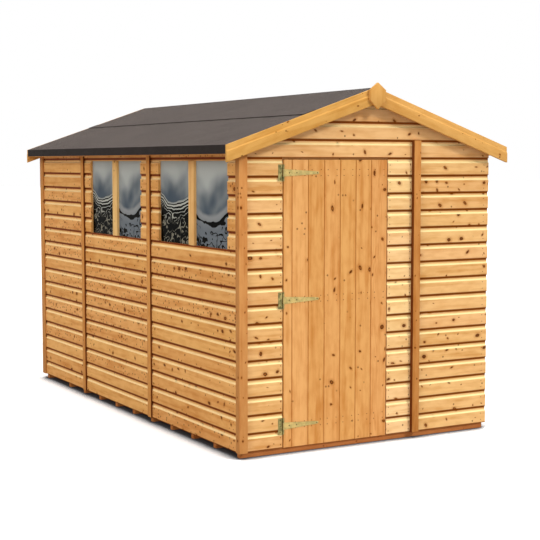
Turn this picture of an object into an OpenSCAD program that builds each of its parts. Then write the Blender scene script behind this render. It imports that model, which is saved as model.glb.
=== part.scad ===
// Apex garden shed: shiplap cladding on a light timber frame, a felted roof on boards,
// two double-pane windows in one side, and a ledged and braced door on three tee hinges.
// Millimetres. The ground is z = 0, the ridge stands over x = 0 and +Y runs back from the
// door gable. Inside the modules x is counted from the left cladding face and y from the
// front cladding face; placed() moves the finished piece to the model's own origin.

/* [Overall] */
// Width over the cladding of the two side walls
shed_w = 1836; // [1500:2:2400]
// Length of the front bay of the side walls
front_bay_l = 1242; // [1000:2:1600]
// Length of the middle bay of the side walls
middle_bay_l = 1180; // [950:2:1500]
// Length of the plain back bay of the side walls
back_bay_l = 893; // [700:1:1200]
// Pitch of the roof in degrees
roof_pitch = 19; // [14:0.5:24]

/* [Cladding] */
// Height that one shiplap board covers
board_cover = 108; // [90:1:130]
// Boards from the bottom of the cladding to the door head
wall_courses = 16; // [13:1:20]
// Height of the side walls above the door head
eave_strip_h = 93; // [70:1:120]
// Thickness of the shiplap boards
clad_t = 16; // [12:0.5:20]
// Height of the bottom edge of the cladding above the ground
clad_z = 36; // [28:1:42]
// Gap left where two wall panels butt together
panel_gap = 2; // [1:0.5:4]

/* [Frame] */
// Depth of the framing timber, through the wall
frame_d = 28; // [26:1:40]
// Face width of the framing timber, along the wall
frame_w = 44; // [34:1:45]

/* [Floor] */
// Number of floor joists
joist_count = 11; // [9:1:14]
// Most distance from one joist to the next, counted from the front
joist_pitch = 307; // [240:1:320]
// Thickness of a joist
joist_w = 34; // [28:1:44]
// Height of a joist
joist_h = 44; // [40:1:60]
// Thickness of the floor boards
floor_t = 12; // [9:0.5:18]

/* [Door] */
// Distance from the left cladding face to the door opening
door_x = 297; // [240:1:360]
// Width of the opening in the cladding
door_opening_w = 752; // [620:1:860]
// Gap between the leaf and the cladding at each side
door_side_gap = 6; // [6:0.5:10]
// Gap between the leaf and the cladding over it
door_top_gap = 12; // [8:0.5:18]
// Thickness of the boards of the leaf
leaf_t = 11; // [9:0.5:14]
// How far the door posts stand into the opening, as the stop of the leaf
door_stop_w = 15; // [12:0.5:20]
// Thickness of the ledges and braces
ledge_t = 20; // [16:0.5:24]
// Width of the ledges and braces
ledge_w = 70; // [60:1:90]
// Clearance between the ledge ends and the door posts
ledge_gap = 8; // [7:0.5:12]
// Height of the bottom ledge's middle above the bottom of the leaf
ledge_low = 131; // [100:1:180]
// Distance of the top ledge's middle below the top of the leaf
ledge_high = 77; // [65:1:120]

/* [Hinges] */
// Length of the tapered strap from the pin to its tip
strap_l = 248; // [200:1:320]
// Width of the strap at the knuckle
strap_w = 44; // [32:1:52]
// Width of the strap just before its round tip
strap_tip_w = 16; // [14:1:20]
// Thickness of the strap and of the fixed plate
hinge_t = 2; // [1.5:0.25:2.5]
// Height of the fixed plate
plate_h = 98; // [84:1:120]
// Width of the fixed plate, from the pin outwards
plate_w = 34; // [28:1:42]
// Clearance between the fixed plate and the strap's knuckle
plate_clear = 3; // [2:0.5:5]
// Distance of the fixed plate's end screws from its ends
plate_screw_inset = 12; // [8:1:18]
// Outside diameter of the knuckles
knuckle_d = 10; // [9:0.5:11]
// Diameter of the hinge pin
pin_d = 5; // [4:0.25:5.5]
// Radial running clearance between the pin and the strap's knuckle
pin_play = 0.06; // [0.02:0.01:0.1]
// Gap between one knuckle and the next along the pin
knuckle_gap = 0.5; // [0.3:0.1:1]
// Diameter of the screw holes in the hinges
screw_hole_d = 4.5; // [3.5:0.25:5.5]
// Diameter of the countersinks at the outer face of the hinges
screw_head_d = 8.5; // [7:0.25:9.5]

/* [Windows] */
// Height of the windows in boards
window_courses = 5; // [4:1:7]
// Height of board left between the window and the door-head line
window_head_drop = 18; // [12:1:30]
// Length of the short boards beside each window
window_margin = 117; // [115:1:150]
// Width of the post between the two panes
mullion_w = 76; // [56:1:90]
// Thickness of the glass
glass_t = 3; // [3:0.5:4]
// Depth of the glass behind the cladding face
glass_depth = 18; // [17:0.5:28]
// Side of the square beads that hold the glass on the room side
bead_w = 12; // [9:0.5:15]

/* [Trim] */
// Width of the corner trims on the gable faces, from their outer edge
corner_face_w = 56; // [48:1:66]
// Thickness of the corner trims in front of the gable faces
corner_face_t = 28; // [22:1:34]
// Thickness of the corner trims on the side faces
corner_side_t = 10; // [8:0.5:14]
// How far the front corner trim laps back onto the side wall
front_corner_lap = 18; // [16:1:30]
// How far a back corner trim laps forward onto the side wall
back_corner_lap = 40; // [30:1:60]
// Distance of the panel joint in the gables from the left cladding face
gable_joint_x = 1253; // [1170:1:1330]
// Width of the strips over the panel joints in the gables
gable_strip_w = 52; // [44:1:62]
// Width of the strips over the panel joints in the side walls
side_strip_w = 53; // [44:1:62]
// Thickness of the strips over the panel joints in the side walls
side_strip_t = 12; // [9:0.5:16]

/* [Roof] */
// How far the roof boards reach past the side cladding
eave_overhang = 100; // [80:1:120]
// How far the roof boards reach past the gable cladding
gable_overhang = 42; // [40:1:60]
// Thickness of the roof boards
roof_board_t = 11; // [9:0.5:15]
// Width of the battens and purlins under the roof boards
batten_w = 28; // [22:1:34]
// Height of the battens and purlins at their thin side
batten_h = 42; // [36:1:56]
// Distance of the middle purlins from the ridge
purlin_x = 440; // [360:2:520]
// Gap between the ridge line and the purlins beside it
ridge_purlin_gap = 3; // [2:0.5:12]
// Open joint at each side of the ridge line, where rafters are cut plumb
rafter_joint = 1; // [0.5:0.5:3]
// Thickness of the ply gussets at the truss tops
gusset_t = 9; // [6:0.5:12]
// How far the gussets reach down each side of the ridge
gusset_reach = 176; // [110:2:220]
// Height of the underside of the truss ties above the door head
tie_rise = 86; // [60:1:120]

/* [Felt] */
// Thickness of one layer of felt
felt_t = 3; // [2:0.25:4]
// Height of the felt band turned down over the eave
felt_turn = 53; // [40:1:60]
// Distance of the felt lap from the ridge
felt_lap_x = 500; // [420:2:600]
// Width of the overlap at the lap
felt_overlap = 75; // [50:1:100]

/* [Bargeboards] */
// Plumb height of the bargeboards
barge_h = 100; // [85:1:120]
// Thickness of the bargeboards at their proud lower part
barge_t = 18; // [15:0.5:22]
// Depth of the rebate along the top of the bargeboards
barge_rebate = 6; // [4:0.5:8]
// Height of the rebate, square to the slope
barge_rebate_h = 30; // [24:1:38]
// Width of the bevel between the rebate and the proud part
barge_bevel = 8; // [5:0.5:12]
// How far the bargeboards reach past the roof boards at the eaves
barge_end = 5; // [3:1:10]
// Width of the eased lower arris of the bargeboards
barge_arris = 1.5; // [0.5:0.5:4]
// Open joint between the two bargeboards at the ridge
barge_joint = 1; // [0.5:0.5:3]
// Width of the finial across its upright sides
finial_w = 114; // [95:1:135]
// Height of the upright sides of the finial
finial_side = 62; // [50:1:80]
// Height of the finial's top point above its upright sides
finial_point = 44.5; // [30:0.5:60]
// Depth of the finial's bottom point below its upright sides
finial_tail = 54.5; // [40:0.5:70]
// Thickness of the finial
finial_t = 18; // [12:0.5:22]
// Height of the finial's top point above the top of the bargeboards
finial_rise = 28; // [20:1:40]

/* [Hidden] */
$fn = 48;
shed_l = front_bay_l + middle_bay_l + back_bay_l;
floor_z = joist_h + floor_t;
head_z = clad_z + wall_courses * board_cover;
wall_h = head_z + eave_strip_h;
slope = tan(roof_pitch);
ridge_x = shed_w / 2;
board_rise = roof_board_t / cos(roof_pitch);
felt_rise = felt_t / cos(roof_pitch);
roof_front = -gable_overhang;
roof_back = shed_l + gable_overhang;
// Hairline between the roof boards and the sloping faces that carry them.
bearing_gap = 0.1;
// The model's origin lies under the middle of its box, finial included.
middle_y = (roof_back + barge_t + roof_front - barge_t - finial_t) / 2;

// Bays of the side walls, as [front end, back end].
inner_l = shed_l - clad_t;
joint_1 = front_bay_l;
joint_2 = front_bay_l + middle_bay_l;
BAYS = [[clad_t, joint_1 - panel_gap / 2],
        [joint_1 + panel_gap / 2, joint_2 - panel_gap / 2],
        [joint_2 + panel_gap / 2, inner_l]];
FRAME_BAYS = [[clad_t + frame_d, BAYS[0][1]], BAYS[1], [BAYS[2][0], inner_l - frame_d]];

// Windows of the first two bays, as [front side, back side], centred between the trims.
WINDOWS = [[front_corner_lap + window_margin, joint_1 - side_strip_w / 2 - window_margin],
           [joint_1 + side_strip_w / 2 + window_margin,
            joint_2 - side_strip_w / 2 - window_margin]];
window_z0 = clad_z + (wall_courses - window_courses) * board_cover;
window_z1 = head_z - window_head_drop;
rail_top = wall_h + slope * clad_t - bearing_gap;
room_x = clad_t + frame_d;

// Door leaf, its posts and its hinges.
leaf_x0 = door_x + door_side_gap;
leaf_x1 = door_x + door_opening_w - door_side_gap;
leaf_z0 = clad_z;
leaf_z1 = head_z - door_top_gap;
post_left = door_x + door_stop_w;
post_right = door_x + door_opening_w - door_stop_w;
door_head_z = leaf_z1 - door_stop_w;
pin_x = door_x + door_side_gap / 2;
pin_y = -knuckle_d / 2;
ledge_x0 = post_left + ledge_gap;
ledge_x1 = post_right - ledge_gap;
ledge_low_z = leaf_z0 + ledge_low;
ledge_high_z = leaf_z1 - ledge_high;
LEDGES = [ledge_low_z, (ledge_low_z + ledge_high_z) / 2, ledge_high_z];
// Clear of the strap's own corner as it turns.
plate_notch = knuckle_d / 2 + plate_clear;
// Screws of each strap, as parts of its length, and their spacing up the fixed plate.
STRAP_SCREWS = [0.17, 0.375, 0.95];
plate_screw_x = -(plate_w + plate_notch) / 2;
plate_screw_z = plate_h / 2 - plate_screw_inset;

// Truss and purlin levels. A purlin's flat underside meets the rafter at its high edge.
purlin_drop = batten_h + slope * batten_w;
rafter_h = frame_w / cos(roof_pitch);
tie_z = head_z + tie_rise;
TRUSSES = [joint_1, joint_2];

timber = "#d9a35e";
trim_timber = "#c98f4e";
barge_timber = "#dca650";
felt_grey = "#5d5552";
zinc = "#b3a96a";
glass_tint = "#9db0bd";

// Height of the underside of the roof boards over a point of the plan, and of the tops of
// the pieces that carry them.
function under(x) = wall_h + slope * min(x, shed_w - x);
function bearing(x) = under(x) - bearing_gap;

// Limits of a piece of one width about its middle.
function about(middle, width) = [middle - width / 2, middle + width / 2];

// The model's own place of a piece built from the front left corner of the cladding.
module placed() translate([-ridge_x, -middle_y, 0]) children();

// A squared timber or sheet between two limits on each axis.
module timber_box(x, y, z)
    translate([x[0], y[0], z[0]]) cube([x[1] - x[0], y[1] - y[0], z[1] - z[0]]);

// A prism that runs from y0 to y1 over an outline drawn in x and z.
module along_y(y0, y1) translate([0, y1, 0]) rotate([90, 0, 0]) linear_extrude(y1 - y0) children();

// The same child on the left and mirrored to the right of the ridge.
module both_sides() {
    children();
    translate([shed_w, 0, 0]) mirror([1, 0, 0]) children();
}

// --- Floor -----------------------------------------------------------------------------

module floor_joists() color(trim_timber) placed() {
    run = shed_l - 2 * clad_t - joist_w;
    pitch = min(joist_pitch, run / (joist_count - 1));
    starts = [for (i = [0 : joist_count - 1]) i == joist_count - 1 ? run : i * pitch];
    for (start = starts)
        timber_box([clad_t, shed_w - clad_t],
                   [clad_t + start, clad_t + start + joist_w], [0, joist_h]);
}

module floor_boards() color(timber) placed()
    timber_box([clad_t, shed_w - clad_t], [clad_t, inner_l], [joist_h, floor_z]);

// --- Cladding --------------------------------------------------------------------------

module front_cladding_left() color(timber) placed()
    timber_box([0, door_x], [0, clad_t], [clad_z, head_z]);

module front_cladding_right() color(timber) placed() {
    timber_box([door_x + door_opening_w, gable_joint_x - panel_gap / 2], [0, clad_t],
               [clad_z, head_z]);
    timber_box([gable_joint_x + panel_gap / 2, shed_w], [0, clad_t], [clad_z, head_z]);
}

// Outline of a gable between two distances from the left side and up to the roof boards.
module gable_outline(x0, x1, z0) {
    top = x0 < ridge_x && x1 > ridge_x ? [[ridge_x, bearing(ridge_x)]] : [];
    polygon(concat([[x0, z0], [x1, z0], [x1, bearing(x1)]], top, [[x0, bearing(x0)]]));
}

module front_gable_cladding() color(timber) placed()
    along_y(0, clad_t) gable_outline(0, shed_w, head_z);

module back_cladding() color(timber) placed() {
    along_y(inner_l, shed_l) gable_outline(0, gable_joint_x - panel_gap / 2, clad_z);
    along_y(inner_l, shed_l) gable_outline(gable_joint_x + panel_gap / 2, shed_w, clad_z);
}

module side_panel(bay) timber_box([0, clad_t], bay, [clad_z, wall_h]);

module window_panel(bay, window) difference() {
    side_panel(bay);
    timber_box([-clad_t, 2 * clad_t], window, [window_z0, window_z1]);
}

module left_cladding_front() color(timber) placed() window_panel(BAYS[0], WINDOWS[0]);
module left_cladding_middle() color(timber) placed() window_panel(BAYS[1], WINDOWS[1]);
module left_cladding_back() color(timber) placed() side_panel(BAYS[2]);

module right_cladding() color(timber) placed()
    translate([shed_w - clad_t, 0, 0]) for (bay = BAYS) side_panel(bay);

// --- Wall frames -----------------------------------------------------------------------

// An upright of the wall frame that starts at x and stands between two levels.
module gable_post(x, z0, z1) timber_box([x, x + frame_w], [clad_t, room_x], [z0, z1]);
module gable_rail(x0, x1, z) timber_box([x0, x1], [clad_t, room_x], [z, z + frame_w]);

joint_left = gable_joint_x - panel_gap / 2;
joint_right = gable_joint_x + panel_gap / 2;

// The posts that front and back share: the two corners and the two at the panel joint.
module shared_posts() {
    for (x = [clad_t, joint_left - frame_w, joint_right, shed_w - clad_t - frame_w])
        gable_post(x, floor_z + frame_w, door_head_z);
}

module front_posts() color(timber) placed() {
    shared_posts();
    for (x = [post_left - frame_w, post_right]) gable_post(x, floor_z, door_head_z);
}

module front_rails() color(timber) placed() {
    gable_rail(clad_t, post_left - frame_w, floor_z);
    gable_rail(post_right + frame_w, joint_left, floor_z);
    gable_rail(joint_right, shed_w - clad_t, floor_z);
    gable_rail(clad_t, shed_w - clad_t, door_head_z);
}

// Two sloping members under the roof boards and a king post between them.
module gable_frame() {
    king = about(ridge_x, frame_w);
    both_sides() along_y(clad_t, room_x)
        slope_layer(clad_t, king[0] - rafter_joint, -bearing_gap - rafter_h, -bearing_gap);
    timber_box(king, [clad_t, room_x], [door_head_z + frame_w, bearing(king[0])]);
}

// The back frame is the front one seen from behind: mirrored front to back.
module at_back() translate([0, shed_l, 0]) mirror([0, 1, 0]) children();

module front_gable_frame() color(timber) placed() gable_frame();
module back_gable_frame() color(timber) placed() at_back() gable_frame();

module back_posts() color(timber) placed() at_back() {
    shared_posts();
    for (mid = [(clad_t + joint_left) / 2, (joint_right + shed_w - clad_t) / 2])
        gable_post(mid - frame_w / 2, floor_z + frame_w, door_head_z);
}

module back_rails() color(timber) placed() at_back() {
    gable_rail(clad_t, joint_left, floor_z);
    gable_rail(joint_right, shed_w - clad_t, floor_z);
    gable_rail(clad_t, shed_w - clad_t, door_head_z);
}

module side_post(y) timber_box([clad_t, room_x], [y, y + frame_w],
                               [floor_z + frame_w, rail_top - frame_w]);
module side_rail(y, z) timber_box([clad_t, room_x], y, [z, z + frame_w]);

module bay_posts(bay) for (y = [bay[0], bay[1] - frame_w]) side_post(y);
module middle_post(bay) side_post((bay[0] + bay[1] - frame_w) / 2);
module bay_rails(bay) for (z = [floor_z, rail_top - frame_w]) side_rail(bay, z);

module left_posts() color(timber) placed() {
    for (bay = FRAME_BAYS) bay_posts(bay);
    for (window = WINDOWS) for (y = [window[0] - frame_w, window[1]]) side_post(y);
    middle_post(FRAME_BAYS[2]);
}

// Bottom and top rails of each bay, and the sill and head of each window.
module left_rails() color(timber) placed() {
    for (bay = FRAME_BAYS) bay_rails(bay);
    for (window = WINDOWS) for (z = [window_z0 - frame_w, window_z1]) side_rail(window, z);
}

module right_posts() color(timber) placed() translate([shed_w, 0, 0]) mirror([1, 0, 0])
    for (bay = FRAME_BAYS) {
        bay_posts(bay);
        middle_post(bay);
    }

module right_rails() color(timber) placed() translate([shed_w, 0, 0]) mirror([1, 0, 0])
    for (bay = FRAME_BAYS) bay_rails(bay);

// --- Windows ---------------------------------------------------------------------------

function window_middle(window) = (window[0] + window[1]) / 2;
// The two panes of a window, as [front side, back side].
function panes(window) = let (post = about(window_middle(window), mullion_w))
    [[window[0], post[0]], [post[1], window[1]]];

module window_mullions() color(timber) placed()
    for (window = WINDOWS)
        timber_box([0, room_x], about(window_middle(window), mullion_w),
                   [window_z0, window_z1]);

module window_glass() color(glass_tint, 0.5) placed()
    for (window = WINDOWS) for (pane = panes(window))
        timber_box([glass_depth, glass_depth + glass_t], pane, [window_z0, window_z1]);

// A mitred ring of square bead behind each pane, cut from one outline.
module window_beads() color(trim_timber) placed()
    for (window = WINDOWS) for (pane = panes(window))
        translate([glass_depth + glass_t, 0, 0]) rotate([90, 0, 90])
            linear_extrude(bead_w) difference() {
                translate([pane[0], window_z0])
                    square([pane[1] - pane[0], window_z1 - window_z0]);
                translate([pane[0] + bead_w, window_z0 + bead_w])
                    square([pane[1] - pane[0] - 2 * bead_w, window_z1 - window_z0 - 2 * bead_w]);
            }

// --- Trim ------------------------------------------------------------------------------

// An L-section trim round a corner of the cladding.
module corner_trim(lap) {
    top = bearing(-corner_side_t);
    translate([0, 0, clad_z]) linear_extrude(top - clad_z)
        polygon([[-corner_side_t, -corner_face_t],
                 [corner_face_w - corner_side_t, -corner_face_t],
                 [corner_face_w - corner_side_t, 0], [0, 0], [0, lap], [-corner_side_t, lap]]);
}

module front_corner_trim() color(trim_timber) placed() corner_trim(front_corner_lap);
module back_corner_trims() color(trim_timber) placed()
    both_sides() at_back() corner_trim(back_corner_lap);

module gable_strip(top)
    timber_box(about(gable_joint_x, gable_strip_w), [-corner_face_t, 0], [clad_z, top]);

// The front strip stops a board above the door head, the back one runs up to the roof.
module gable_joint_strips() color(trim_timber) placed() {
    gable_strip(head_z + board_cover);
    at_back() gable_strip(bearing(gable_joint_x + gable_strip_w / 2));
}

module side_joint_strips() color(trim_timber) placed()
    both_sides() for (y = [joint_1, joint_2])
        timber_box([-side_strip_t, 0], about(y, side_strip_w),
                   [clad_z, bearing(-side_strip_t)]);

// --- Roof ------------------------------------------------------------------------------

// Outline of a layer on the left slope, between two distances from the left cladding
// face, from rise r0 to rise r1 above the underside of the roof boards.
module slope_layer(x0, x1, r0, r1)
    polygon([[x0, under(x0) + r0], [x1, under(x1) + r0], [x1, under(x1) + r1],
             [x0, under(x0) + r1]]);

module left_roof_boards()
    along_y(roof_front, roof_back) slope_layer(-eave_overhang, ridge_x, 0, board_rise);

module roof_boards_left() color(timber) placed() left_roof_boards();
module roof_boards_right() color(timber) placed()
    translate([shed_w, 0, 0]) mirror([1, 0, 0]) left_roof_boards();

// A batten under the left slope from x0, flat underneath and bevelled to the boards.
module sloped_batten(x0, y0, y1)
    along_y(y0, y1)
        polygon([[x0, under(x0) - batten_h], [x0 + batten_w, under(x0) - batten_h],
                 [x0 + batten_w, bearing(x0 + batten_w)], [x0, bearing(x0)]]);

module eave_battens() color(trim_timber) placed()
    both_sides() sloped_batten(-eave_overhang, roof_front, roof_back);

module roof_purlins() color(timber) placed()
    both_sides() for (x = [ridge_x - purlin_x, ridge_x - batten_w - ridge_purlin_gap])
        sloped_batten(x, room_x, shed_l - room_x);

// Rafters below the purlins, with a plumb cut under the ridge.
module truss_rafters() color(timber) placed()
    for (y = TRUSSES) both_sides() along_y(y - frame_d / 2, y + frame_d / 2)
        slope_layer(room_x, ridge_x - rafter_joint, -purlin_drop - rafter_h, -purlin_drop);

// On each truss a tie nailed to the back of the rafters and a ply gusset to their front.
module truss_braces() color(timber) placed() for (y = TRUSSES) {
    reach = (tie_z + frame_w - wall_h + purlin_drop) / slope;
    front = y - frame_d / 2;
    back = y + frame_d / 2;
    timber_box([reach, shed_w - reach], [back, back + frame_d], [tie_z, tie_z + frame_w]);
    side = under(ridge_x - gusset_reach) - purlin_drop;
    along_y(front - gusset_t, front)
        polygon([[ridge_x, under(ridge_x) - purlin_drop], [ridge_x - gusset_reach, side],
                 [ridge_x - gusset_reach, side - rafter_h],
                 [ridge_x + gusset_reach, side - rafter_h], [ridge_x + gusset_reach, side]]);
}

// --- Felt ------------------------------------------------------------------------------

// The lower course of the left slope: turned down over the eave and run up past the lap.
module felt_lower() {
    edge = -eave_overhang;
    top = ridge_x - felt_lap_x + felt_overlap;
    r0 = board_rise;
    r1 = board_rise + felt_rise;
    along_y(roof_front, roof_back)
        polygon([[edge, under(edge) + r0], [top, under(top) + r0], [top, under(top) + r1],
                 [edge - felt_t, under(edge - felt_t) + r1],
                 [edge - felt_t, under(edge) + r1 - felt_turn],
                 [edge, under(edge) + r1 - felt_turn]]);
}

module felt_left_course() color(felt_grey) placed() felt_lower();
module felt_right_course() color(felt_grey) placed()
    translate([shed_w, 0, 0]) mirror([1, 0, 0]) felt_lower();

// The course that saddles the ridge and steps over the lower courses.
module felt_ridge_course() color(felt_grey) placed()
    along_y(roof_front, roof_back) {
        lap = ridge_x - felt_lap_x;
        step = lap + felt_overlap;
        over = board_rise + felt_rise;
        // Left half from the ridge's top down to the lap and back up underneath.
        half = [[ridge_x, under(ridge_x) + over],
                [step + felt_t, under(step + felt_t) + over],
                [step, under(step) + over + felt_rise], [lap, under(lap) + over + felt_rise],
                [lap, under(lap) + over], [step, under(step) + over],
                [step, under(step) + board_rise], [ridge_x, under(ridge_x) + board_rise]];
        polygon(concat(half, [for (i = [len(half) - 2 : -1 : 1])
                              [shed_w - half[i][0], half[i][1]]]));
    }

// --- Bargeboards and finial -------------------------------------------------------------

barge_top = board_rise + felt_rise;
// Width of a bargeboard square to the slope.
barge_w = barge_h * cos(roof_pitch);

// Section of a bargeboard: u across its thickness, v up its face, from the top edge.
module barge_section() {
    rebate = barge_t - barge_rebate;
    polygon([[0, 0], [rebate, 0], [rebate, -barge_rebate_h],
             [barge_t, -barge_rebate_h - barge_bevel], [barge_t, barge_arris - barge_w],
             [barge_t - barge_arris, -barge_w], [0, -barge_w]]);
}

// The left board of a pair, run long along the slope and cut plumb at both ends.
module barge_left() intersection() {
    run = (ridge_x + eave_overhang + barge_end) / cos(roof_pitch);
    translate([ridge_x, roof_front, under(ridge_x) + barge_top]) rotate([0, -roof_pitch, 0])
        rotate([90, 0, -90]) translate([0, 0, -barge_h])
            linear_extrude(run + 2 * barge_h) barge_section();
    timber_box([-eave_overhang - barge_end, ridge_x - barge_joint / 2],
               [roof_front - 2 * barge_t, roof_front + barge_t],
               [0, under(ridge_x) + 2 * barge_h]);
}

module barge_pair() both_sides() barge_left();

module front_bargeboards() color(barge_timber) placed() barge_pair();
module back_bargeboards() color(barge_timber) placed() at_back() barge_pair();

// A diamond with its left and right corners cut off upright.
module finial() color(barge_timber) placed() {
    half = finial_w / 2;
    top = under(ridge_x) + barge_top + finial_rise;
    shoulder = top - finial_point;
    foot = shoulder - finial_side;
    along_y(roof_front - barge_t - finial_t, roof_front - barge_t)
        polygon([[ridge_x, top], [ridge_x - half, shoulder], [ridge_x - half, foot],
                 [ridge_x, foot - finial_tail], [ridge_x + half, foot],
                 [ridge_x + half, shoulder]]);
}

// --- Door ------------------------------------------------------------------------------

module door_leaf() color(timber) placed()
    timber_box([leaf_x0, leaf_x1], [0, leaf_t], [leaf_z0, leaf_z1]);

module door_ledges() color(timber) placed()
    for (z = LEDGES)
        timber_box([ledge_x0, ledge_x1], [leaf_t, leaf_t + ledge_t],
                   [z - ledge_w / 2, z + ledge_w / 2]);

// Braces rise from the hinge side of one ledge to the lock side of the next, with their
// ends cut level so that they bear on the ledges.
module door_braces() color(timber) placed()
    for (i = [0, 1]) {
        z0 = LEDGES[i] + ledge_w / 2;
        z1 = LEDGES[i + 1] - ledge_w / 2;
        run = ledge_x1 - ledge_x0;
        // Length along the ledge of a brace end cut level.
        foot = ledge_w * sqrt(pow(run, 2) + pow(z1 - z0, 2)) / (z1 - z0);
        along_y(leaf_t, leaf_t + ledge_t)
            polygon([[ledge_x0, z0], [ledge_x0 + foot, z0], [ledge_x1, z1],
                     [ledge_x1 - foot, z1]]);
    }

// --- Tee hinges ------------------------------------------------------------------------

// A knuckle on the pin line, from z0 up by h.
module knuckle(z0, h) translate([pin_x, pin_y, z0]) cylinder(d = knuckle_d, h = h);

// A countersunk screw hole through a strap or plate, open towards the front.
module screw_hole(x, z) translate([x, 0, z]) rotate([90, 0, 0]) {
    over = 0.5;
    widening = (screw_head_d - screw_hole_d) / hinge_t;
    translate([0, 0, -over]) cylinder(d = screw_hole_d, h = hinge_t + 2 * over);
    cylinder(d1 = screw_hole_d, d2 = screw_head_d + over * widening, h = hinge_t + over);
}

// The tapered strap lies on the leaf, with a round tip and a knuckle bored for the pin.
module hinge_strap(z) difference() {
    tip = strap_tip_w / 2;
    union() {
        translate([pin_x, 0, z]) rotate([90, 0, 0]) linear_extrude(hinge_t) {
            polygon([[0, -strap_w / 2], [strap_l - tip, -tip], [strap_l - tip, tip],
                     [0, strap_w / 2]]);
            translate([strap_l - tip, 0]) circle(r = tip);
        }
        knuckle(z - strap_w / 2, strap_w);
    }
    translate([pin_x, pin_y, z - strap_w]) cylinder(r = pin_d / 2 + pin_play, h = 2 * strap_w);
    for (part = STRAP_SCREWS) screw_hole(pin_x + part * strap_l, z);
}

module hinge_straps() color(zinc) placed() for (z = LEDGES) hinge_strap(z);

// The fixed plate lies on the cladding, is cut back beside the strap's knuckle, and
// carries a knuckle above and below it with the pin between them.
module hinge_plate(z) {
    gap = strap_w / 2 + knuckle_gap;
    difference() {
        timber_box([pin_x - plate_w, pin_x], [-hinge_t, 0], [z - plate_h / 2, z + plate_h / 2]);
        timber_box([pin_x - plate_notch, pin_x + hinge_t], [-2 * hinge_t, hinge_t],
                   [z - gap, z + gap]);
        for (up = [-1, 0, 1]) screw_hole(pin_x + plate_screw_x, z + up * plate_screw_z);
    }
    knuckle(z + gap, plate_h / 2 - gap);
    knuckle(z - plate_h / 2, plate_h / 2 - gap);
    translate([pin_x, pin_y, z - plate_h / 2]) cylinder(d = pin_d, h = plate_h);
}

module hinge_plates() color(zinc) placed() for (z = LEDGES) hinge_plate(z);

floor_joists();
floor_boards();
front_cladding_left();
front_cladding_right();
front_gable_cladding();
left_cladding_front();
left_cladding_middle();
left_cladding_back();
right_cladding();
back_cladding();
front_posts();
front_rails();
front_gable_frame();
back_posts();
back_rails();
back_gable_frame();
left_posts();
left_rails();
right_posts();
right_rails();
window_mullions();
window_glass();
window_beads();
front_corner_trim();
back_corner_trims();
gable_joint_strips();
side_joint_strips();
roof_boards_left();
roof_boards_right();
eave_battens();
roof_purlins();
truss_rafters();
truss_braces();
felt_left_course();
felt_right_course();
felt_ridge_course();
front_bargeboards();
back_bargeboards();
finial();
door_leaf();
door_ledges();
door_braces();
hinge_straps();
hinge_plates();
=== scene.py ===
# %% [markdown]
# # A garden shed in shiplap boards
# The shed's frame, floor, walls, roof and hinged door come from its CAD model as plain
# solids. This lesson dresses them: walls become single shiplap boards, the door becomes
# seven grooved boards, timbers get eased edges, and wood, felt, zinc and glass get
# materials made of nodes. Everything is in metres, with -Y out of the door gable.

# %% Load the frame
import math
import random

import bmesh
import bpy
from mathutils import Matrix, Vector


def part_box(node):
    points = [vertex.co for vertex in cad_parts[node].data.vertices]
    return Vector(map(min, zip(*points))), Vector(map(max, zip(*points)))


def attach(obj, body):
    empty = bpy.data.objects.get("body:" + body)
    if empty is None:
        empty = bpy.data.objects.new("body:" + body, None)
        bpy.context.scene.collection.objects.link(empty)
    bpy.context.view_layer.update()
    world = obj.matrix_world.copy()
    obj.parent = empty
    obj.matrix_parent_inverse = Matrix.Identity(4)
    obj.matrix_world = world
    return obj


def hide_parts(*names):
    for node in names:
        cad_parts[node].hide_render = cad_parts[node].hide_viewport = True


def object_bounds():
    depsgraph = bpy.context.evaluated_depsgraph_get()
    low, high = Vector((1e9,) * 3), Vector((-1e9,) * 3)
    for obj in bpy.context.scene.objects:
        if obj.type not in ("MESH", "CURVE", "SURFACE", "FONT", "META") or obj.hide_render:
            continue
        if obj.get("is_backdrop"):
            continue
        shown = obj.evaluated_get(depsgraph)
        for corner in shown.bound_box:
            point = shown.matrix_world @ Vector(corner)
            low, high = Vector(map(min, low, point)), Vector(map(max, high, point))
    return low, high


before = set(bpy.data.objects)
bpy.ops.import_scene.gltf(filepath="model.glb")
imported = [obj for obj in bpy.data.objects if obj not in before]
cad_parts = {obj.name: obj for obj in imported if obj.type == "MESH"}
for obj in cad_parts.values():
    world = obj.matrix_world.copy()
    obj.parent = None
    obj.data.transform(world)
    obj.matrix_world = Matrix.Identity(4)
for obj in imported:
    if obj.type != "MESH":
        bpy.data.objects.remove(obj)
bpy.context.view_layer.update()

# %% [markdown]
# ## Working by hand, in code
# Blender's modelling tools act on whatever is selected. The helpers here select nothing,
# then open one piece for editing and pick its corners, edges or faces by where they are.
# A piece is always left with its own origin at the world's, so its place is in its mesh.

# %% Selecting and editing
NEAR = 1e-5  # two places closer than this are the same place


def open_piece(piece):
    if bpy.context.object and bpy.context.object.mode == "EDIT":
        bpy.ops.object.mode_set(mode="OBJECT")
    bpy.ops.object.select_all(action="DESELECT")
    bpy.context.view_layer.objects.active = piece
    piece.select_set(True)


def edit(piece):
    open_piece(piece)
    bpy.ops.object.mode_set(mode="EDIT")
    bpy.ops.mesh.select_all(action="SELECT")


def stop_editing():
    bpy.ops.object.mode_set(mode="OBJECT")


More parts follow.
